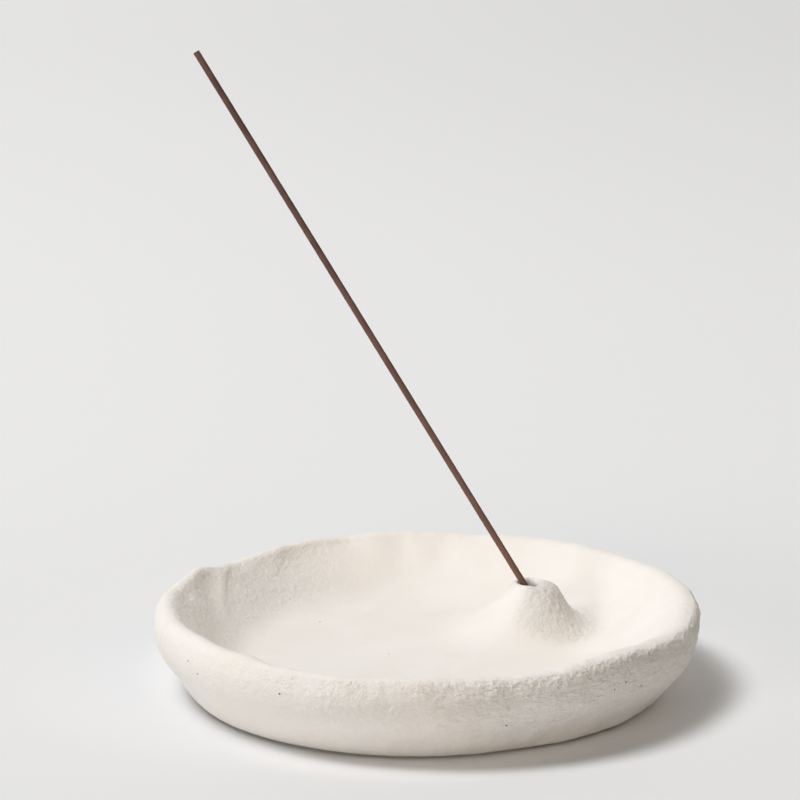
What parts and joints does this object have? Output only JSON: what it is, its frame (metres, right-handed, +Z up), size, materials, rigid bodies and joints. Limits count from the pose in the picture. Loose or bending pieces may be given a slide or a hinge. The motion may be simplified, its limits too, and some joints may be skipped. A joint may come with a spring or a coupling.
{
  "type": "incense stick holder",
  "caption": "Round hand-formed clay dish with an uneven rim and an off-centre hollow cone that holds a leaning incense stick and catches its ash.",
  "frame": {"origin": "middle of the dish, on the plane of its flat foot", "axes": "+Z up, +X to the cone's side of the dish, opposite to the way the stick leans, +Y to the back as the dish is seen in the picture"},
  "size_m": [0.1599, 0.16, 0.1838],
  "materials": {
    "clay": "matte, unglazed, grainy",
    "incense": "matte, pressed powder"
  },
  "bodies": {
    "dish": {"dish": "clay"},
    "stick": {"incense_stick": "incense"}
  },
  "joints": [
    {"name": "stick_lift", "type": "slide", "parent": "dish", "child": "stick", "axis": [-0.515, 0, 0.8572], "range_m": [0, 0.03]}
  ]
}
